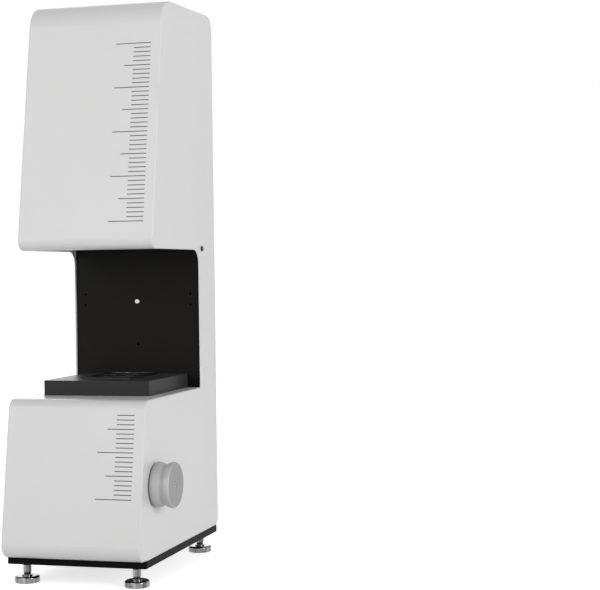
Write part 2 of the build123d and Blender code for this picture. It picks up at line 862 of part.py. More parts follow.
def lift_block(low, high):
    return block(-block_half_width, block_half_width, block_rear_depth, block_front_depth, low, high)


def lift_foot_block():
    body = lift_block(plate_top, foot_block_top)
    body -= rod_z(bearing_seat, foot_bearing_low, foot_block_top + 1, 0, lift_y)
    body -= rod_z(bearing_radius - 5, plate_top - 1, foot_block_top, 0, lift_y)
    for x, y in rod_places:
        body -= rod_z(rod_bore, plate_top + rod_socket_floor, foot_block_top + 1, x, y)
    for x, y in bracket_screw_places():
        body -= rod_z(panel_screw_size / 2 + fixed_fit, foot_block_top - 10, foot_block_top + 1, x, y)
    for x, y in block_screw_places:
        body -= rod_z(frame_screw_size / 2 + fixed_fit, plate_top - 1, foot_block_top + 1, x, y)
        body -= rod_z(frame_screw_size, foot_block_top - counterbore_depth, foot_block_top + 1, x, y)
    return body


def lift_bridge():
    body = block(-block_half_width, block_half_width, block_rear_depth + bridge_rear_gap, block_front_depth,
                 bridge_low, bridge_top)
    body -= rod_z(bearing_seat, bridge_low - 1, bridge_low + bearing_width, 0, lift_y)
    body -= rod_z(bearing_radius - 5, bridge_low, bridge_top + 1, 0, lift_y)
    for x, y in rod_places:
        body -= rod_z(rod_bore, bridge_low - 1, bridge_top + 1, x, y)
    return body


def guide_rods():
    low = plate_top + rod_socket_floor
    return Compound([rod_z(rod_radius, low, bridge_top, x, y) for x, y in rod_places])


def ball_bearing():
    """Both races in one ring, with the shield set back, from z = 0 up."""
    bore = journal_radius + journal_clearance
    race = 3.0
    setback = 0.6
    points = [
        (bore, 0), (bore + race, 0), (bore + race, setback), (bearing_radius - race, setback),
        (bearing_radius - race, 0), (bearing_radius, 0), (bearing_radius, bearing_width),
        (bearing_radius - race, bearing_width), (bearing_radius - race, bearing_width - setback),
        (bore + race, bearing_width - setback), (bore + race, bearing_width), (bore, bearing_width),
    ]
    return turned(points)


bracket_outer_x = bracket_x + bracket_thickness
bracket_top = shaft_z + bearing_radius + 4


def ball_bearings():
    foot = Pos(0, lift_y, foot_bearing_low) * ball_bearing()
    bridge = Pos(0, lift_y, bridge_low) * ball_bearing()
    shaft = Pos(bracket_outer_x - bearing_width, lift_y, shaft_z) * Rot(0, 90, 0) * ball_bearing()
    return Compound([foot, bridge, shaft])


def bracket_screw_places():
    x = bracket_x - bracket_foot / 2
    return [(x, lift_y - bracket_half_depth / 2), (x, lift_y + bracket_half_depth / 2)]


def shaft_bracket():
    near = lift_axis_depth - bracket_half_depth
    far = lift_axis_depth + bracket_half_depth
    upright = block(bracket_x, bracket_outer_x, near, far, foot_block_top, bracket_top)
    foot = block(bracket_x - bracket_foot, bracket_outer_x, near, far,
                 foot_block_top, foot_block_top + bracket_foot_thickness)
    body = upright + foot
    body -= rod_x_axis(bearing_seat, bracket_outer_x - bearing_width, bracket_outer_x + 1, lift_y, shaft_z)
    body -= rod_x_axis(bearing_radius - 5, bracket_x - 1, bracket_outer_x, lift_y, shaft_z)
    for x, y in bracket_screw_places():
        body -= rod_z(panel_screw_size / 2 + fixed_fit, foot_block_top - 1, bracket_top, x, y)
    return body


def shaft_bush():
    flange = rod_x_axis(bush_flange_radius, inner_half - bush_flange_thickness, inner_half, lift_y, shaft_z)
    sleeve = rod_x_axis(bush_radius, inner_half - 1, housing_width / 2 + 0.6, lift_y, shaft_z)
    bore_radius = journal_radius + running_clearance
    return flange + sleeve - rod_x_axis(bore_radius, inner_half - 10, knob_inner_x, lift_y, shaft_z)


# Mitre gears, made with the meeting point of the two shafts at the origin

gear_cone = gear_pitch_radius * sqrt(2)
gear_inner_scale = (gear_cone - gear_face) / gear_cone
gear_addendum = 0.85 * gear_module
gear_dedendum = 1.2 * gear_module


def mitre_tooth(scale):
    """One trapezoid tooth section, square to the pitch cone, on the +X side."""
    half_pitch_width = pi * gear_module / 4 - gear_tooth_thinning
    lean = tan(radians(gear_pressure_angle))
    root = gear_dedendum + 0.3
    tip_width = half_pitch_width - gear_addendum * lean
    root_width = half_pitch_width + root * lean
    tip = gear_addendum
    points = [(-root_width, -root), (root_width, -root), (tip_width, tip), (-tip_width, tip)]
    along = Vector(1, 0, -1).normalized()
    centre = Vector(gear_pitch_radius, 0, -gear_pitch_radius) * scale
    section = Plane(origin=centre, x_dir=(0, 1, 0), z_dir=along)
    return section * make_face(Polyline(*[(x * scale, y * scale) for x, y in points], close=True))


def mitre_gear(bore):
    """Straight mitre gear on the -Z axis, teeth towards the origin."""
    drop = gear_dedendum / sqrt(2)
    root_radius = gear_pitch_radius - drop
    root_low = gear_pitch_radius + drop
    inner_scale = gear_inner_scale
    points = [
        (bore, -root_low * inner_scale), (root_radius * inner_scale, -root_low * inner_scale),
        (root_radius, -root_low), (gear_hub_radius, -root_low - 1),
        (gear_hub_radius, -root_low - gear_hub_length), (bore, -root_low - gear_hub_length),
    ]
    gear = turned(points)
    tooth = loft([mitre_tooth(1.0), mitre_tooth(gear_inner_scale)])
    teeth = [Rot(0, 0, 360 * index / gear_teeth) * tooth for index in range(gear_teeth)]
    return gear.fuse(*teeth)


def screw_gear():
    return Pos(0, lift_y, shaft_z) * mitre_gear(screw_radius + fixed_fit)


def shaft_gear():
    half_tooth = 180 / gear_teeth
    turn = Rot(0, -90, 0) * Rot(0, 0, half_tooth)
    return Pos(0, lift_y, shaft_z) * turn * mitre_gear(journal_radius + fixed_fit)


# Lift, turning pieces

shaft_inner_x = (gear_pitch_radius + gear_dedendum / sqrt(2)) * gear_inner_scale
shaft_outer_x = knob_outer_x - knob_cap_recess - knob_web


def knob_shaft():
    shaft = rod_x_axis(journal_radius, shaft_inner_x, shaft_outer_x, lift_y, shaft_z)
    hole = knob_screw_size / 2 + fixed_fit
    return shaft - rod_x_axis(hole, shaft_outer_x - 14, shaft_outer_x + 1, lift_y, shaft_z)


def knob():
    """Spool-shaped hand knob: two rims with a concave grip between them."""
    rim = knob_rim
    face_radius = knob_radius - knob_rim_fall
    shoulder_radius = knob_radius - 0.3 * knob_rim_fall
    grip = Spline((rim, knob_radius), (knob_width / 2, knob_waist_radius), (knob_width - rim, knob_radius),
                  tangents=[(1, 0), (1, 0)])
    outline = [
        Line((0, 0), (0, face_radius)),
        ThreePointArc((0, face_radius), (0.3 * rim, shoulder_radius), (rim, knob_radius)),
        grip,
        ThreePointArc((knob_width - rim, knob_radius), (knob_width - 0.3 * rim, shoulder_radius),
                      (knob_width, face_radius)),
        Line((knob_width, face_radius), (knob_width, 0)),
        Line((knob_width, 0), (0, 0)),
    ]
    body = revolve(make_face(outline), Axis.X)
    bore_end = knob_width - knob_cap_recess - knob_web
    body -= rod_x_axis(journal_radius + fixed_fit, -1, bore_end, 0, 0)
    body -= rod_x_axis(knob_screw_size / 2 + fixed_fit, 0, knob_width, 0, 0)
    body -= rod_x_axis(knob_cap_radius, knob_width - knob_cap_recess, knob_width + 1, 0, 0)
    return Pos(knob_inner_x, lift_y, shaft_z) * body


def knob_screw():
    place = Pos(knob_outer_x - knob_cap_recess, lift_y, shaft_z) * Rot(0, 90, 0)
    return place * screw(knob_screw_size, knob_web + 8)


def lead_screw():
    thread_low = foot_block_top + 1
    thread_high = bridge_low - 1
    core = rod_z(screw_radius, thread_low, thread_high)
    core = chamfer(core.edges().filter_by(GeomType.CIRCLE), 0.8)
    journal = rod_z(journal_radius, foot_bearing_low - 3, bridge_low + bearing_width + 2)
    return Pos(0, lift_y, 0) * (core + journal)


# Stage and everything that rides up and down with it

knee_rear = block_rear_depth - knee_thickness
glass_half_width = glass_frame_width / 2
glass_half_length = glass_frame_length / 2
plug_half_width = glass_half_width - glass_frame_rim + glass_plug
plug_half_length = glass_half_length - glass_frame_rim + glass_plug
backlight_half_width = glass_half_width + backlight_margin
backlight_half_length = glass_half_length + backlight_margin
backlight_top = stage_top - stage_top_wall - backlight_clearance - diffuser_thickness


def centred_block(half_x, half_depth, z0, z1):
    """A block on the optical axis."""
    return block(-half_x, half_x, optical_axis_depth - half_depth, optical_axis_depth + half_depth, z0, z1)


def knee_screw_places():
    middle = (carriage_low + carriage_top) / 2
    return [(x, middle + rise) for x in (-knee_screw_x, knee_screw_x) for rise in (-10, 10)]


def lift_carriage():
    body = lift_block(carriage_low, carriage_top)
    body -= rod_z(nut_radius + fixed_fit, carriage_low - 1, carriage_top + 1, 0, lift_y)
    for x, y in rod_places:
        body -= rod_z(bushing_radius + fixed_fit, carriage_low - 1, carriage_top + 1, x, y)
    tapped_end = knee_rear + stage_screw_length + 1
    for x, z in knee_screw_places():
        body -= rod_y_axis(stage_screw_size / 2 + fixed_fit, block_rear_depth - 1, tapped_end, x, z)
    return body


def lift_nut():
    flange_top = carriage_top + nut_flange_height
    nut = rod_z(nut_radius, carriage_low, flange_top) + rod_z(nut_flange_radius, carriage_top, flange_top)
    return Pos(0, lift_y, 0) * (nut - rod_z(screw_radius + running_clearance, 0, bridge_top))


def linear_bushings():
    middle = (carriage_low + carriage_top) / 2
    low = middle - bushing_length / 2
    bushings = []
    for x, y in rod_places:
        sleeve = rod_z(bushing_radius, low, low + bushing_length, x, y)
        sleeve -= rod_z(rod_radius + running_clearance, low - 1, low + bushing_length + 1, x, y)
        bushings.append(sleeve)
    return Compound(bushings)


def stage_screw_places():
    x = stage_half - boss_inset
    return [(sx * x, -depth) for sx in (-1, 1)
            for depth in (stage_rear_depth + boss_inset, stage_front_depth - boss_inset)]


def stage_bed():
    """Table plate with a knee that bolts to the carriage, and two gussets."""
    bed_low = bed_top - bed_thickness
    bed = block(-stage_half, stage_half, stage_rear_depth, block_rear_depth, bed_low, bed_top)
    knee = block(-knee_half, knee_half, knee_rear, block_rear_depth, carriage_low + 2, bed_top)
    bed += knee
    triangle = [(-knee_rear, carriage_low + 6), (-knee_rear, bed_low), (-knee_rear + gusset_reach, bed_low)]
    gusset = extrude(Plane.YZ * make_face(Polyline(*triangle, close=True)), gusset_thickness / 2, both=True)
    for side in (-1, 1):
        bed += Pos(side * (knee_half - gusset_thickness / 2), 0, 0) * gusset
    for x, y in stage_screw_places():
        bed -= rod_z(stage_screw_size / 2 + fixed_fit, bed_low - 1, bed_top + 1, x, y)
    for x, z in knee_screw_places():
        bed -= rod_y_axis(stage_screw_size / 2 + fixed_fit, knee_rear - 1, block_rear_depth + 1, x, z)
    return bed


def stage_cover():
    """Sheet box over the bed, with a square hole for the glass frame."""
    body = block(-stage_half, stage_half, stage_rear_depth, stage_front_depth, bed_top, stage_top)
    body = fillet(body.edges().filter_by(Axis.Z), stage_edge_round)
    body = fillet(body.faces().sort_by(Axis.Z)[-1].edges(), stage_edge_round / 2)
    cavity = block(-stage_half + stage_wall, stage_half - stage_wall, stage_rear_depth + stage_wall,
                   stage_front_depth - stage_wall, bed_top - 1, stage_top - stage_top_wall)
    body -= cavity
    for x, y in stage_screw_places():
        body += rod_z(boss_radius, bed_top, stage_top - stage_top_wall + 1, x, y)
        body -= rod_z(stage_screw_size / 2 + fixed_fit, bed_top - 1, bed_top + 8, x, y)
    opening = centred_block(plug_half_width + fixed_fit, plug_half_length + fixed_fit,
                            stage_top - stage_top_wall - 1, stage_top + 1)
    return body - opening


def stage_screws():
    """Four screws up into the cover's bosses and four through the knee into the carriage."""
    one = screw(stage_screw_size, stage_screw_length)
    bed_low = bed_top - bed_thickness
    screws = [Pos(x, y, bed_low) * Rot(180, 0, 0) * one for x, y in stage_screw_places()]
    screws += [Pos(x, -knee_rear, z) * Rot(-90, 0, 0) * one for x, z in knee_screw_places()]
    return Compound(screws)


glass_seat = stage_top + glass_frame_height - glass_sink - glass_thickness


def glass_frame():
    half_w = glass_half_width
    half_l = glass_half_length
    collar = centred_block(half_w, half_l, stage_top, stage_top + glass_frame_height)
    collar = chamfer(collar.faces().sort_by(Axis.Z)[-1].edges(), 0.8)
    plug = centred_block(plug_half_width, plug_half_length, stage_top - stage_top_wall, stage_top)
    recess = centred_block(half_w - glass_frame_rim, half_l - glass_frame_rim, glass_seat, stage_top + 10)
    window_w = half_w - glass_frame_rim - glass_ledge
    window_l = half_l - glass_frame_rim - glass_ledge
    window = centred_block(window_w, window_l, stage_top - 10, stage_top + 10)
    return collar + plug - recess - window


def stage_glass():
    half_w = glass_half_width - glass_frame_rim - glass_gap
    half_l = glass_half_length - glass_frame_rim - glass_gap
    glass = centred_block(half_w, half_l, glass_seat, glass_seat + glass_thickness)
    return chamfer(glass.faces().sort_by(Axis.Z)[-1].edges(), 0.5)


def backlight_housing():
    box = centred_block(backlight_half_width, backlight_half_length, bed_top, backlight_top)
    inner_w = backlight_half_width - backlight_wall
    inner_l = backlight_half_length - backlight_wall
    return box - centred_block(inner_w, inner_l, bed_top + backlight_wall, backlight_top + 1)


def backlight_board():
    half_w = backlight_half_width - backlight_wall - 0.5
    half_l = backlight_half_length - backlight_wall - 0.5
    low = bed_top + backlight_wall
    board = centred_block(half_w, half_l, low, low + board_thickness)
    half = led_size / 2
    for column in range(backlight_columns):
        for row in range(backlight_rows):
            x = half_w * (2 * (column + 0.5) / backlight_columns - 1)
            depth = optical_axis_depth + half_l * (2 * (row + 0.5) / backlight_rows - 1)
            board += block(x - half, x + half, depth - half, depth + half, low, low + board_thickness + 1)
    return board


def backlight_diffuser():
    high = backlight_top + diffuser_thickness
    return centred_block(backlight_half_width, backlight_half_length, backlight_top, high)


# Controller board on standoffs

def standoff_places():
    x = controller_width / 2 - standoff_inset
    depths = (controller_depth + standoff_inset, controller_depth + controller_length - standoff_inset)
    return [(sx * x, -depth) for sx in (-1, 1) for depth in depths]


def standoffs():
    """Snap-in pillars: a pin through the board with a barbed head above it."""
    shoulder = plate_top + standoff_height
    board_top = shoulder + board_thickness
    pillars = []
    for x, y in standoff_places():
        pillar = rod_z(standoff_radius, plate_top, shoulder, x, y)
        pillar += rod_z(standoff_pin_radius, shoulder - 1, board_top + 1, x, y)
        pillar += rod_z(standoff_pin_radius + 0.8, board_top, board_top + 1.5, x, y)
        pillars.append(pillar)
    return Compound(pillars)


def controller_board():
    low = plate_top + standoff_height
    high = low + board_thickness
    half = controller_width / 2
    rear = controller_depth
    front = controller_depth + controller_length
    middle = (rear + front) / 2
    board = block(-half, half, rear, front, low, high)
    chip_half = chip_size / 2
    chip = block(-chip_half, chip_half, middle - chip_half, middle + chip_half, low, high + chip_height)
    sink_x = half - heat_sink_inset
    heat_sink = block(sink_x - heat_sink_width, sink_x, rear + board_edge_margin, front - board_edge_margin,
                      low, high + heat_sink_height)
    plug_x = plug_inset - half
    plug = block(plug_x, plug_x + plug_width, rear + 2, rear + 2 + plug_length, low, high + plug_height)
    board = board + chip + heat_sink + plug
    for x, y in standoff_places():
        board -= rod_z(standoff_pin_radius + fixed_fit, low - 1, high + 1, x, y)
    return board


# Write the pieces, with the origin under the middle of the whole outline

pieces = {
    "base_plate": base_plate(),
    "foot_lock_nuts": foot_lock_nuts(),
    "housing_screws": housing_screws(),
    "housing": housing(),
    "cheek_screws": cheek_screws(),
    "rear_cover": rear_cover(),
    "rear_cover_screws": rear_cover_screws(),
    "usb_socket": usb_socket(),
    "power_socket": power_socket(),
    "switch_frame": switch_frame(),
    "power_rocker": power_rocker(),
    "frame_post_left": frame_post(-1),
    "frame_post_right": frame_post(1),
    "frame_screws": frame_screws(),
    "frame_crossbars": frame_crossbars(),
    "throat_panel": throat_panel(),
    "button_screws": button_screws(),
    "head_floor": head_floor(),
    "ring_light_housing": ring_light_housing(),
    "ring_light_board": ring_light_board(),
    "ring_light_diffuser": ring_light_diffuser(),
    "lens_plate": lens_plate(),
    "lens_clamps": lens_clamps(),
    "lens_barrel": lens_barrel(),
    "lens_glass": lens_glass(),
    "camera_mount_ring": camera_mount_ring(),
    "camera_body": camera_body(),
    "lift_foot_block": lift_foot_block(),
    "lift_bridge": lift_bridge(),
    "guide_rods": guide_rods(),
    "ball_bearings": ball_bearings(),
    "shaft_bracket": shaft_bracket(),
    "shaft_bush": shaft_bush(),
    "knob": knob(),
    "knob_screw": knob_screw(),
    "knob_shaft": knob_shaft(),
    "shaft_gear": shaft_gear(),
    "screw_gear": screw_gear(),
    "lead_screw": lead_screw(),
    "lift_carriage": lift_carriage(),
    "lift_nut": lift_nut(),
    "linear_bushings": linear_bushings(),
    "stage_bed": stage_bed(),
    "stage_cover": stage_cover(),
    "stage_screws": stage_screws(),
    "glass_frame": glass_frame(),
    "stage_glass": stage_glass(),
    "backlight_housing": backlight_housing(),
    "backlight_board": backlight_board(),
    "backlight_diffuser": backlight_diffuser(),
    "controller_board": controller_board(),
    "board_standoffs": standoffs(),
}
for corner, (foot_place_x, foot_place_y) in foot_places.items():
    pieces["foot_pad_" + corner] = foot_pad(foot_place_x, foot_place_y)
    pieces["foot_stem_" + corner] = foot_stem(foot_place_x, foot_place_y)

whole = Compound(list(pieces.values())).bounding_box()
middle = whole.center()
to_row_frame = Pos(-middle.X, -middle.Y, -whole.min.Z)
print("moved by", -middle.X, -middle.Y, -whole.min.Z)
print("size", whole.size)
for name, piece in pieces.items():
    export_step(to_row_frame * piece, f"parts/{name}.step")
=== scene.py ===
import bpy
from math import atan, cos, radians, sin
from mathutils import Matrix, Vector


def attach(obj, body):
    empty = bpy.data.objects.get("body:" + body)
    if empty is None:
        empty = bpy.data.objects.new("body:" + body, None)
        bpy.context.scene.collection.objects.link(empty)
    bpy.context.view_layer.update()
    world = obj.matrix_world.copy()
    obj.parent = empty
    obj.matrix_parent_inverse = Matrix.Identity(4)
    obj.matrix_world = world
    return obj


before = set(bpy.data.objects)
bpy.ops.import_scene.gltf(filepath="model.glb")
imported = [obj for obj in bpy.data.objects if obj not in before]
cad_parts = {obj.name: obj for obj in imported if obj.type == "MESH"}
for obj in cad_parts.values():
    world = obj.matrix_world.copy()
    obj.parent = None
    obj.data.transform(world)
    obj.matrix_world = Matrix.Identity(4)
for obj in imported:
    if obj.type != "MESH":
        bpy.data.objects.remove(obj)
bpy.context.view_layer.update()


# The photograph's view: a long lens a little above half height, to the right of the tower.
# The tower's own middle plane and rear face are moved into the part's frame by tower_origin.

tower_origin = Vector((-0.016275, 0.197811, 0.0))
eye = tower_origin + Vector((0.98842, -2.63009, 0.50796))
eye_azimuth = radians(15.0626)
eye_pitch = radians(-0.9448)
eye_roll = radians(-0.7514)

ahead = Vector((-sin(eye_azimuth) * cos(eye_pitch), cos(eye_azimuth) * cos(eye_pitch), sin(eye_pitch)))
level_right = Vector((cos(eye_azimuth), sin(eye_azimuth), 0))
level_up = level_right.cross(ahead)
frame_right = cos(eye_roll) * level_right + sin(eye_roll) * level_up
frame_up = -sin(eye_roll) * level_right + cos(eye_roll) * level_up

lens = bpy.data.cameras.new("viewpoint")
lens.sensor_width = 36
lens.lens = 90.563
lens.clip_end = 60
viewpoint = bpy.data.objects.new("viewpoint", lens)
bpy.context.collection.objects.link(viewpoint)
axes = Matrix((frame_right, frame_up, -ahead)).transposed()
viewpoint.matrix_world = Matrix.Translation(eye) @ axes.to_4x4()
bpy.context.scene.camera = viewpoint
bpy.context.scene.view_settings.view_transform = "Standard"


# The studio: a plain pale floor in a white room that is dimmer overhead, with one broad soft lamp
# at the front right and weaker ones at the front left and behind, so that the faces are lit alike.

def new_material(name):
    material = bpy.data.materials.new(name)
    material.use_nodes = True
    material.node_tree.nodes.clear()
    return material, material.node_tree.nodes, material.node_tree.links


def seen_directly(nodes, links):
    """1 for camera, mirror and see-through rays, 0 for the light that reaches the surfaces."""
    path = nodes.new("ShaderNodeLightPath")
    first = nodes.new("ShaderNodeMath")
    first.operation = "MAXIMUM"
    links.new(path.outputs["Is Camera Ray"], first.inputs[0])
    links.new(path.outputs["Is Glossy Ray"], first.inputs[1])
    second = nodes.new("ShaderNodeMath")
    second.operation = "MAXIMUM"
    links.new(first.outputs[0], second.inputs[0])
    links.new(path.outputs["Is Transmission Ray"], second.inputs[1])
    return second.outputs[0]


room = bpy.data.worlds.new("white_room")
room.use_nodes = True
bpy.context.scene.world = room
room_nodes = room.node_tree.nodes
room_links = room.node_tree.links
room_light = room_nodes["Background"]
direction = room_nodes.new("ShaderNodeSeparateXYZ")
room_links.new(room_nodes.new("ShaderNodeTexCoord").outputs["Generated"], direction.inputs[0])
overhead = room_nodes.new("ShaderNodeMix")
overhead.data_type = "RGBA"
overhead.inputs["A"].default_value = (0.82, 0.82, 0.83, 1)
overhead.inputs["B"].default_value = (0.10, 0.10, 0.103, 1)
room_links.new(direction.outputs["Z"], overhead.inputs["Factor"])
room_mix = room_nodes.new("ShaderNodeMix")
room_mix.data_type = "RGBA"
room_links.new(overhead.outputs["Result"], room_mix.inputs["A"])
room_mix.inputs["B"].default_value = (1, 1, 1, 1)
room_links.new(seen_directly(room_nodes, room_links), room_mix.inputs["Factor"])
room_links.new(room_mix.outputs["Result"], room_light.inputs["Color"])
room_light.inputs["Strength"].default_value = 1.0

floor_mesh = bpy.data.meshes.new("floor")
reach = 14.0
floor_mesh.from_pydata([(-reach, -reach, 0), (reach, -reach, 0), (reach, reach, 0), (-reach, reach, 0)], [],
                       [(0, 1, 2, 3)])
floor = bpy.data.objects.new("floor", floor_mesh)
bpy.context.collection.objects.link(floor)
floor_paint, nodes, links = new_material("floor_paint")
matt = nodes.new("ShaderNodeBsdfDiffuse")
matt.inputs["Color"].default_value = (0.90, 0.90, 0.90, 1)
glow = nodes.new("ShaderNodeEmission")
links.new(seen_directly(nodes, links), glow.inputs["Strength"])
glow.inputs["Color"].default_value = (0.71, 0.71, 0.71, 1)
both = nodes.new("ShaderNodeAddShader")
links.new(matt.outputs[0], both.inputs[0])
links.new(glow.outputs[0], both.inputs[1])
output = nodes.new("ShaderNodeOutputMaterial")
links.new(both.outputs[0], output.inputs["Surface"])
floor_mesh.materials.append(floor_paint)


aim = Vector((0, 0, 0.5))


def soft_lamp(name, place, size, power):
    """A square lamp aimed at the tower's middle."""
    light = bpy.data.lights.new(name, "AREA")
    light.size = size
    light.energy = power
    lamp = bpy.data.objects.new(name, light)
    lamp.location = place
    lamp.rotation_euler = (aim - Vector(place)).to_track_quat("-Z", "Y").to_euler()
    bpy.context.collection.objects.link(lamp)


soft_lamp("front_lamp", (-1.6, -3.4, 1.5), size=2.4, power=38)
soft_lamp("side_lamp", (3.4, -1.6, 1.3), size=1.3, power=52)
soft_lamp("rear_lamp", (-1.8, 3.2, 1.6), size=2.4, power=26)


# Housing: one shell of 2 mm steel sheet, folded and welded, with rounded corners, open at the throat.
# It is powder coated off-white with a fine orange-peel texture.

def node_group(name, inputs, outputs):
    """A shader node group with named sockets, and its own input and output nodes."""
    group = bpy.data.node_groups.new(name, "ShaderNodeTree")
    for socket, kind, value in inputs:
        made = group.interface.new_socket(socket, in_out="INPUT", socket_type=kind)
        if value is not None:
            made.default_value = value
    for socket, kind in outputs:
        group.interface.new_socket(socket, in_out="OUTPUT", socket_type=kind)
    start = group.nodes.new("NodeGroupInput")
    end = group.nodes.new("NodeGroupOutput")
    return group, group.nodes, group.links, start, end


def noise(nodes, links, vector, scale, detail, rough=0.5):
    texture = nodes.new("ShaderNodeTexNoise")
    links.new(vector, texture.inputs["Vector"])
    texture.inputs["Detail"].default_value = detail
    texture.inputs["Roughness"].default_value = rough
    if isinstance(scale, (int, float)):
        texture.inputs["Scale"].default_value = scale
    else:
        links.new(scale, texture.inputs["Scale"])
    return texture.outputs["Fac"]


def remap(nodes, links, value, low, high, to_low, to_high):
    step = nodes.new("ShaderNodeMapRange")
    links.new(value, step.inputs["Value"])
    for socket, number in (("From Min", low), ("From Max", high), ("To Min", to_low), ("To Max", to_high)):
        if isinstance(number, (int, float)):
            step.inputs[socket].default_value = number
        else:
            links.new(number, step.inputs[socket])
    return step.outputs["Result"]


def blend_colours(nodes, links, factor, first, second, kind="MIX"):
    mix = nodes.new("ShaderNodeMix")
    mix.data_type = "RGBA"
    mix.blend_type = kind
    if isinstance(factor, (int, float)):
        mix.inputs["Factor"].default_value = factor
    else:
        links.new(factor, mix.inputs["Factor"])
    for socket, colour in (("A", first), ("B", second)):
        if isinstance(colour, tuple):
            mix.inputs[socket].default_value = (*colour, 1)
        else:
            links.new(colour, mix.inputs[socket])
    return mix.outputs["Result"]


peel, nodes, links, start, end = node_group(
    "coating_texture",
    [("Vector", "NodeSocketVector", None), ("Scale", "NodeSocketFloat", 900.0),
     ("Colour", "NodeSocketColor", (0.7, 0.7, 0.7, 1)), ("Roughness", "NodeSocketFloat", 0.45)],
    [("Colour", "NodeSocketColor"), ("Roughness", "NodeSocketFloat"), ("Height", "NodeSocketFloat")])
fine = noise(nodes, links, start.outputs["Vector"], start.outputs["Scale"], 2.0)
broad = noise(nodes, links, start.outputs["Vector"], 7.0, 3.0)
tone = remap(nodes, links, broad, 0.3, 0.7, 0.0, 1.0)
paler = blend_colours(nodes, links, 1.0, start.outputs["Colour"], (0.975, 0.975, 0.97), "MULTIPLY")
links.new(blend_colours(nodes, links, tone, start.outputs["Colour"], paler), end.inputs["Colour"])
shine = nodes.new("ShaderNodeMath")
shine.operation = "ADD"
links.new(start.outputs["Roughness"], shine.inputs[0])
links.new(remap(nodes, links, fine, 0.3, 0.7, -0.04, 0.04), shine.inputs[1])
links.new(shine.outputs[0], end.inputs["Roughness"])
links.new(fine, end.inputs["Height"])


def coated(name, colour, rough, peel_scale, peel_height, specular=0.5):
    """Powder coat on sheet steel."""
    material, nodes, links = new_material(name)
    place = nodes.new("ShaderNodeTexCoord")
    texture = nodes.new("ShaderNodeGroup")
    texture.node_tree = peel
    links.new(place.outputs["Object"], texture.inputs["Vector"])
    texture.inputs["Scale"].default_value = peel_scale
    texture.inputs["Colour"].default_value = (*colour, 1)
    texture.inputs["Roughness"].default_value = rough
    bump = nodes.new("ShaderNodeBump")
    bump.inputs["Strength"].default_value = 0.6
    bump.inputs["Distance"].default_value = peel_height
    links.new(texture.outputs["Height"], bump.inputs["Height"])
    surface = nodes.new("ShaderNodeBsdfPrincipled")
    links.new(texture.outputs["Colour"], surface.inputs["Base Color"])
    links.new(texture.outputs["Roughness"], surface.inputs["Roughness"])
    links.new(bump.outputs["Normal"], surface.inputs["Normal"])
    surface.inputs["Specular IOR Level"].default_value = specular
    output = nodes.new("ShaderNodeOutputMaterial")
    links.new(surface.outputs[0], output.inputs["Surface"])
    return material


def dress(material, *names):
    """Gives CAD nodes their finish."""
    for name in names:
        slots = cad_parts[name].data.materials
        slots.clear()
        slots.append(material)


housing_paint = coated("housing_paint", (0.71, 0.71, 0.705), 0.32, 1100.0, 0.00002)
dress(housing_paint, "housing", "rear_cover")


# Printed rulers: grey ink lines on the leaning front, 41 on the head and 19 on the base.
# Every tenth line is long and every fifth is half long, screen printed on the coating.

plate_top = 0.045
foot_depth = 0.404
head_depth = 0.256
head_top = 0.972
head_top_fall = 0.009
front_lean = (foot_depth - head_depth) / (head_top - head_top_fall - plate_top)
ink_rise = 0.00004
ruler_right = 0.1024
long_line = 0.0618
half_line = 0.0458
short_line = 0.0304
line_width = 0.0015

ink, nodes, links = new_material("ruler_ink")
place = nodes.new("ShaderNodeTexCoord")
speckle = noise(nodes, links, place.outputs["Object"], 2500.0, 2.0)
tone = blend_colours(nodes, links, remap(nodes, links, speckle, 0.35, 0.65, 0.0, 1.0),
                     (0.055, 0.055, 0.058), (0.085, 0.085, 0.085))
surface = nodes.new("ShaderNodeBsdfPrincipled")
links.new(tone, surface.inputs["Base Color"])
links.new(remap(nodes, links, speckle, 0.3, 0.7, 0.42, 0.58), surface.inputs["Roughness"])
output = nodes.new("ShaderNodeOutputMaterial")
links.new(surface.outputs[0], output.inputs["Surface"])

ruler_tree = bpy.data.node_groups.new("ruler_lines", "GeometryNodeTree")
sockets = {}
for socket, kind, value in (
        ("Lines", "NodeSocketInt", 41), ("First Number", "NodeSocketInt", 0),
        ("Start", "NodeSocketVector", (0, 0, 0)), ("Step", "NodeSocketVector", (0, 0, -0.0074)),
        ("Long", "NodeSocketFloat", long_line), ("Half", "NodeSocketFloat", half_line),
        ("Short", "NodeSocketFloat", short_line), ("Line Width", "NodeSocketFloat", line_width),
        ("Lean", "NodeSocketFloat", 0.16),
        ("Ink", "NodeSocketMaterial", None)):
    made = ruler_tree.interface.new_socket(socket, in_out="INPUT", socket_type=kind)
    if value is not None:
        made.default_value = value
    sockets[socket] = made.identifier
ruler_tree.interface.new_socket("Geometry", in_out="OUTPUT", socket_type="NodeSocketGeometry")
nodes = ruler_tree.nodes
links = ruler_tree.links
start = nodes.new("NodeGroupInput")
end = nodes.new("NodeGroupOutput")
row = nodes.new("GeometryNodeMeshLine")
links.new(start.outputs["Lines"], row.inputs["Count"])
links.new(start.outputs["Start"], row.inputs["Start Location"])
links.new(start.outputs["Step"], row.inputs["Offset"])
number = nodes.new("ShaderNodeMath")
number.operation = "ADD"
links.new(nodes.new("GeometryNodeInputIndex").outputs[0], number.inputs[0])
links.new(start.outputs["First Number"], number.inputs[1])


def every(count):
    """1 on each line whose number divides by count."""
    rest = nodes.new("ShaderNodeMath")
    rest.operation = "MODULO"
    links.new(number.outputs[0], rest.inputs[0])
    rest.inputs[1].default_value = count
    test = nodes.new("ShaderNodeMath")
    test.operation = "LESS_THAN"
    links.new(rest.outputs[0], test.inputs[0])
    test.inputs[1].default_value = 0.5
    return test.outputs[0]


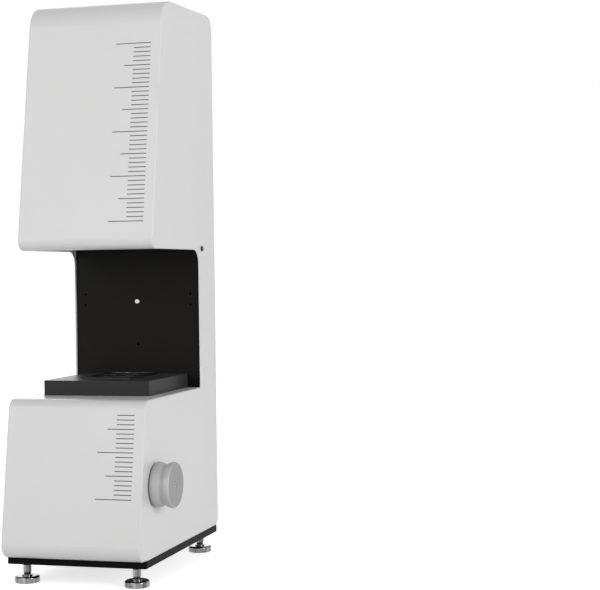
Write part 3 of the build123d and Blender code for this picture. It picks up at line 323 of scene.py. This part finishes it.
half_or_short = nodes.new("ShaderNodeMix")
links.new(every(5), half_or_short.inputs["Factor"])
links.new(start.outputs["Short"], half_or_short.inputs["A"])
links.new(start.outputs["Half"], half_or_short.inputs["B"])
line_length = nodes.new("ShaderNodeMix")
links.new(every(10), line_length.inputs["Factor"])
links.new(half_or_short.outputs["Result"], line_length.inputs["A"])
links.new(start.outputs["Long"], line_length.inputs["B"])
size = nodes.new("ShaderNodeCombineXYZ")
links.new(line_length.outputs["Result"], size.inputs["X"])
size.inputs["Y"].default_value = ink_rise * 2
links.new(start.outputs["Line Width"], size.inputs["Z"])
bar = nodes.new("GeometryNodeMeshCube")
bar.inputs["Size"].default_value = (1, 1, 1)
right_end = nodes.new("GeometryNodeTransform")
right_end.inputs["Translation"].default_value = (-0.5, 0, 0)
links.new(bar.outputs["Mesh"], right_end.inputs["Geometry"])
turn = nodes.new("ShaderNodeCombineXYZ")
links.new(start.outputs["Lean"], turn.inputs["X"])
lines = nodes.new("GeometryNodeInstanceOnPoints")
links.new(row.outputs["Mesh"], lines.inputs["Points"])
links.new(right_end.outputs["Geometry"], lines.inputs["Instance"])
links.new(turn.outputs["Vector"], lines.inputs["Rotation"])
links.new(size.outputs["Vector"], lines.inputs["Scale"])
real = nodes.new("GeometryNodeRealizeInstances")
links.new(lines.outputs["Instances"], real.inputs["Geometry"])
inked = nodes.new("GeometryNodeSetMaterial")
links.new(real.outputs["Geometry"], inked.inputs["Geometry"])
links.new(start.outputs["Ink"], inked.inputs["Material"])
links.new(inked.outputs["Geometry"], end.inputs["Geometry"])


def grown(name, tree, values):
    """A plain mesh object made by a geometry tree with these inputs."""
    seed_mesh = bpy.data.meshes.new(name + "_seed")
    seed = bpy.data.objects.new(name + "_seed", seed_mesh)
    bpy.context.collection.objects.link(seed)
    grower = seed.modifiers.new("grower", "NODES")
    grower.node_group = tree
    for socket, value in values.items():
        grower[socket] = value
    bpy.context.view_layer.update()
    graph = bpy.context.evaluated_depsgraph_get()
    mesh = bpy.data.meshes.new_from_object(seed.evaluated_get(graph), depsgraph=graph)
    seed.modifiers.remove(grower)
    bpy.data.objects.remove(seed)
    mesh.name = name
    made = bpy.data.objects.new(name, mesh)
    bpy.context.collection.objects.link(made)
    return made


def printed_ruler(name, lines, first_number, top, bottom):
    """One ruler on the leaning front. Its top and bottom lines are heights above the base plate."""
    step = (top - bottom) / (lines - 1)
    depth = foot_depth - front_lean * top
    begin = tower_origin + Vector((ruler_right, -depth, plate_top + top))
    ruler = grown(name, ruler_tree, {
        sockets["Lines"]: lines, sockets["First Number"]: first_number, sockets["Start"]: begin,
        sockets["Step"]: Vector((0, -front_lean * step, -step)), sockets["Lean"]: -atan(front_lean),
        sockets["Long"]: long_line, sockets["Half"]: half_line, sockets["Short"]: short_line,
        sockets["Line Width"]: line_width, sockets["Ink"]: ink})
    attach(ruler, "tower")


printed_ruler("head_ruler", lines=41, first_number=0, top=0.8442, bottom=0.5469)
printed_ruler("base_ruler", lines=19, first_number=2, top=0.2334, bottom=0.1003)


# Base plate: 12 mm steel plate, black powder coated, with machined edges broken by a small chamfer.
# The throat's back panel, the head's floor, the posts and their crossbars have the same satin black.

plate_paint = coated("plate_paint", (0.005, 0.005, 0.005), 0.42, 1600.0, 0.00003, specular=0.03)
dress(plate_paint, "base_plate", "frame_post_left", "frame_post_right", "frame_crossbars")
throat_paint = coated("throat_paint", (0.010, 0.0094, 0.0086), 0.50, 1400.0, 0.00003, specular=0.06)
dress(throat_paint, "throat_panel", "head_floor")


# Small screws and nuts: black oxide steel on the outside, plated steel on the throat panel
# and in the mechanism. Each keeps faint turning marks round its head.

marks, nodes, links, start, end = node_group(
    "machined_marks",
    [("Vector", "NodeSocketVector", None), ("Scale", "NodeSocketFloat", 400.0),
     ("Stretch", "NodeSocketVector", (1.0, 1.0, 0.02)), ("Roughness", "NodeSocketFloat", 0.3)],
    [("Mask", "NodeSocketFloat"), ("Roughness", "NodeSocketFloat"), ("Height", "NodeSocketFloat")])
squeezed = nodes.new("ShaderNodeVectorMath")
squeezed.operation = "MULTIPLY"
links.new(start.outputs["Vector"], squeezed.inputs[0])
links.new(start.outputs["Stretch"], squeezed.inputs[1])
streak = noise(nodes, links, squeezed.outputs["Vector"], start.outputs["Scale"], 3.0, 0.6)
links.new(remap(nodes, links, streak, 0.3, 0.7, 0.0, 1.0), end.inputs["Mask"])
shine = nodes.new("ShaderNodeMath")
shine.operation = "ADD"
links.new(start.outputs["Roughness"], shine.inputs[0])
links.new(remap(nodes, links, streak, 0.3, 0.7, -0.06, 0.06), shine.inputs[1])
links.new(shine.outputs[0], end.inputs["Roughness"])
links.new(streak, end.inputs["Height"])


def machined(name, dark, light, rough, scale, stretch, height=0.00001, metal=1.0):
    """Bare or plated metal with tool marks that run one way."""
    material, nodes, links = new_material(name)
    place = nodes.new("ShaderNodeTexCoord")
    texture = nodes.new("ShaderNodeGroup")
    texture.node_tree = marks
    links.new(place.outputs["Object"], texture.inputs["Vector"])
    texture.inputs["Scale"].default_value = scale
    texture.inputs["Stretch"].default_value = stretch
    texture.inputs["Roughness"].default_value = rough
    bump = nodes.new("ShaderNodeBump")
    bump.inputs["Strength"].default_value = 0.5
    bump.inputs["Distance"].default_value = height
    links.new(texture.outputs["Height"], bump.inputs["Height"])
    surface = nodes.new("ShaderNodeBsdfPrincipled")
    links.new(blend_colours(nodes, links, texture.outputs["Mask"], dark, light), surface.inputs["Base Color"])
    links.new(texture.outputs["Roughness"], surface.inputs["Roughness"])
    links.new(bump.outputs["Normal"], surface.inputs["Normal"])
    surface.inputs["Metallic"].default_value = metal
    output = nodes.new("ShaderNodeOutputMaterial")
    links.new(surface.outputs[0], output.inputs["Surface"])
    return material


black_oxide = machined("black_oxide", (0.012, 0.012, 0.013), (0.03, 0.03, 0.032), 0.38, 900.0, (1, 1, 1),
                       metal=0.4)
dress(black_oxide, "cheek_screws", "rear_cover_screws", "frame_screws", "foot_lock_nuts")
plated_steel = machined("plated_steel", (0.30, 0.30, 0.30), (0.48, 0.48, 0.48), 0.24, 1200.0, (1, 1, 1))
dress(plated_steel, "button_screws", "knob_screw", "usb_socket")
ground_steel = machined("ground_steel", (0.42, 0.42, 0.43), (0.60, 0.60, 0.61), 0.28, 900.0, (1, 1, 0.05))
dress(ground_steel, "housing_screws", "guide_rods", "ball_bearings", "knob_shaft", "shaft_gear", "screw_gear",
      "lead_screw", "linear_bushings", "stage_screws")


# Levelling feet: chromed steel discs on ball-ended stems with a spanner hexagon, screwed up into
# the base plate and locked by a black nut. Their dark tops are a painted reflection of the black plate above,
# and their dark and bright upright bands are painted reflections.

chrome, nodes, links = new_material("foot_chrome")
place = nodes.new("ShaderNodeTexCoord")
texture = nodes.new("ShaderNodeGroup")
texture.node_tree = marks
links.new(place.outputs["Object"], texture.inputs["Vector"])
texture.inputs["Scale"].default_value = 150.0
texture.inputs["Stretch"].default_value = (1.0, 1.0, 0.03)
texture.inputs["Roughness"].default_value = 0.17
facing = nodes.new("ShaderNodeSeparateXYZ")
links.new(nodes.new("ShaderNodeNewGeometry").outputs["Normal"], facing.inputs[0])
# Painted reflection: faces that look up are painted dark, standing for the black plate they would mirror.
painted_plate_reflection = remap(nodes, links, facing.outputs["Z"], 0.15, 0.85, 0.0, 0.85)
# Painted reflection: the streak mask paints dark and bright upright bands on the chrome.
painted_reflection_bands = blend_colours(nodes, links, texture.outputs["Mask"], (0.07, 0.07, 0.071), (0.42, 0.42, 0.43))
surface = nodes.new("ShaderNodeBsdfPrincipled")
links.new(blend_colours(nodes, links, painted_plate_reflection, painted_reflection_bands, (0.03, 0.03, 0.03)), surface.inputs["Base Color"])
links.new(texture.outputs["Roughness"], surface.inputs["Roughness"])
surface.inputs["Metallic"].default_value = 1.0
output = nodes.new("ShaderNodeOutputMaterial")
links.new(surface.outputs[0], output.inputs["Surface"])
for corner in ("front_left", "front_right", "rear_left", "rear_right"):
    dress(chrome, "foot_pad_" + corner, "foot_stem_" + corner)


# Hand knob: turned aluminium spool, clear anodised. The grip is bead blasted to a pale grey, and
# the end face is painted a little darker as painted shade. Its screw sits in a recess at the face's centre.

knob_finish = machined("knob_finish", (0.42, 0.42, 0.425), (0.48, 0.48, 0.485), 0.46, 1800.0, (1, 1, 1),
                       height=0.00002, metal=0.2)
nodes = knob_finish.node_tree.nodes
links = knob_finish.node_tree.links
facing = nodes.new("ShaderNodeSeparateXYZ")
links.new(nodes.new("ShaderNodeNewGeometry").outputs["Normal"], facing.inputs[0])
# Painted shade: faces that look along +X, the end face, get a darker colour.
painted_face_shade = remap(nodes, links, facing.outputs["X"], 0.90, 0.98, 0.0, 1.0)
base_colour = nodes["Principled BSDF"].inputs["Base Color"]
blasted = base_colour.links[0].from_socket
links.new(blend_colours(nodes, links, painted_face_shade, blasted, (0.29, 0.29, 0.295)), base_colour)
dress(knob_finish, "knob")


# Stage: a sheet steel box over the lift's table bed, dark grey, with a black anodised frame
# that carries the measuring glass.

stage_paint = coated("stage_paint", (0.038, 0.038, 0.039), 0.36, 1500.0, 0.00003, specular=0.06)
dress(stage_paint, "stage_cover")
black_anodised = machined("black_anodised", (0.012, 0.012, 0.013), (0.022, 0.022, 0.024), 0.34, 1400.0,
                          (1, 0.04, 1), metal=0.6)
dress(black_anodised, "glass_frame", "backlight_housing", "ring_light_housing", "lens_clamps", "lens_barrel",
      "camera_body")


# Measuring glass and the lens's front glass: ground and polished plate, faintly green at the edge.

clear_glass, nodes, links = new_material("clear_glass")
place = nodes.new("ShaderNodeTexCoord")
smudge = noise(nodes, links, place.outputs["Object"], 40.0, 4.0)
surface = nodes.new("ShaderNodeBsdfPrincipled")
links.new(blend_colours(nodes, links, smudge, (0.86, 0.92, 0.89), (0.92, 0.96, 0.94)),
          surface.inputs["Base Color"])
links.new(remap(nodes, links, smudge, 0.35, 0.75, 0.02, 0.07), surface.inputs["Roughness"])
surface.inputs["Transmission Weight"].default_value = 1.0
surface.inputs["IOR"].default_value = 1.5
output = nodes.new("ShaderNodeOutputMaterial")
links.new(surface.outputs[0], output.inputs["Surface"])
dress(clear_glass, "stage_glass", "lens_glass")


# Lights under the stage and round the lens: opal acrylic diffusers over boards of small lamps.

opal, nodes, links = new_material("opal_acrylic")
place = nodes.new("ShaderNodeTexCoord")
cloud = noise(nodes, links, place.outputs["Object"], 60.0, 3.0)
surface = nodes.new("ShaderNodeBsdfPrincipled")
links.new(blend_colours(nodes, links, cloud, (0.74, 0.74, 0.72), (0.80, 0.80, 0.79)),
          surface.inputs["Base Color"])
links.new(remap(nodes, links, cloud, 0.3, 0.7, 0.30, 0.42), surface.inputs["Roughness"])
surface.inputs["Subsurface Weight"].default_value = 0.2
surface.inputs["Subsurface Scale"].default_value = 0.002
output = nodes.new("ShaderNodeOutputMaterial")
links.new(surface.outputs[0], output.inputs["Surface"])
dress(opal, "ring_light_diffuser", "backlight_diffuser")

board_mask, nodes, links = new_material("board_mask")
place = nodes.new("ShaderNodeTexCoord")
tracks = nodes.new("ShaderNodeTexBrick")
links.new(place.outputs["Object"], tracks.inputs["Vector"])
tracks.inputs["Scale"].default_value = 160.0
tracks.inputs["Mortar Size"].default_value = 0.03
tracks.inputs["Color1"].default_value = (0.010, 0.075, 0.030, 1)
tracks.inputs["Color2"].default_value = (0.012, 0.090, 0.036, 1)
tracks.inputs["Mortar"].default_value = (0.030, 0.160, 0.070, 1)
surface = nodes.new("ShaderNodeBsdfPrincipled")
links.new(tracks.outputs["Color"], surface.inputs["Base Color"])
links.new(remap(nodes, links, noise(nodes, links, place.outputs["Object"], 90.0, 2.0), 0.3, 0.7, 0.25, 0.38),
          surface.inputs["Roughness"])
output = nodes.new("ShaderNodeOutputMaterial")
links.new(surface.outputs[0], output.inputs["Surface"])
dress(board_mask, "ring_light_board", "backlight_board", "controller_board")


# Machined aluminium of the lens plate, the lift's blocks and the table bed, and the bronze of the
# lead screw's nut and the shaft's bush.

plain_aluminium = machined("plain_aluminium", (0.58, 0.59, 0.60), (0.70, 0.71, 0.72), 0.34, 700.0,
                           (0.04, 1, 1))
dress(plain_aluminium, "lens_plate", "camera_mount_ring", "lift_foot_block", "lift_bridge", "shaft_bracket",
      "lift_carriage", "stage_bed")
bronze = machined("bearing_bronze", (0.42, 0.27, 0.11), (0.55, 0.37, 0.17), 0.32, 900.0, (1, 1, 0.1))
dress(bronze, "lift_nut", "shaft_bush")


# Moulded parts at the back and the board's pillars: fine-textured black plastic, plain nylon.

def moulded(name, dark, light, rough):
    material, nodes, links = new_material(name)
    place = nodes.new("ShaderNodeTexCoord")
    grain = noise(nodes, links, place.outputs["Object"], 3000.0, 2.0)
    bump = nodes.new("ShaderNodeBump")
    bump.inputs["Strength"].default_value = 0.4
    bump.inputs["Distance"].default_value = 0.00002
    links.new(grain, bump.inputs["Height"])
    surface = nodes.new("ShaderNodeBsdfPrincipled")
    links.new(blend_colours(nodes, links, grain, dark, light), surface.inputs["Base Color"])
    links.new(remap(nodes, links, grain, 0.3, 0.7, rough - 0.05, rough + 0.05), surface.inputs["Roughness"])
    links.new(bump.outputs["Normal"], surface.inputs["Normal"])
    output = nodes.new("ShaderNodeOutputMaterial")
    links.new(surface.outputs[0], output.inputs["Surface"])
    return material


black_plastic = moulded("black_plastic", (0.012, 0.012, 0.012), (0.022, 0.022, 0.022), 0.35)
dress(black_plastic, "power_socket", "switch_frame", "power_rocker")
nylon = moulded("nylon", (0.62, 0.61, 0.57), (0.68, 0.67, 0.63), 0.45)
dress(nylon, "board_standoffs")
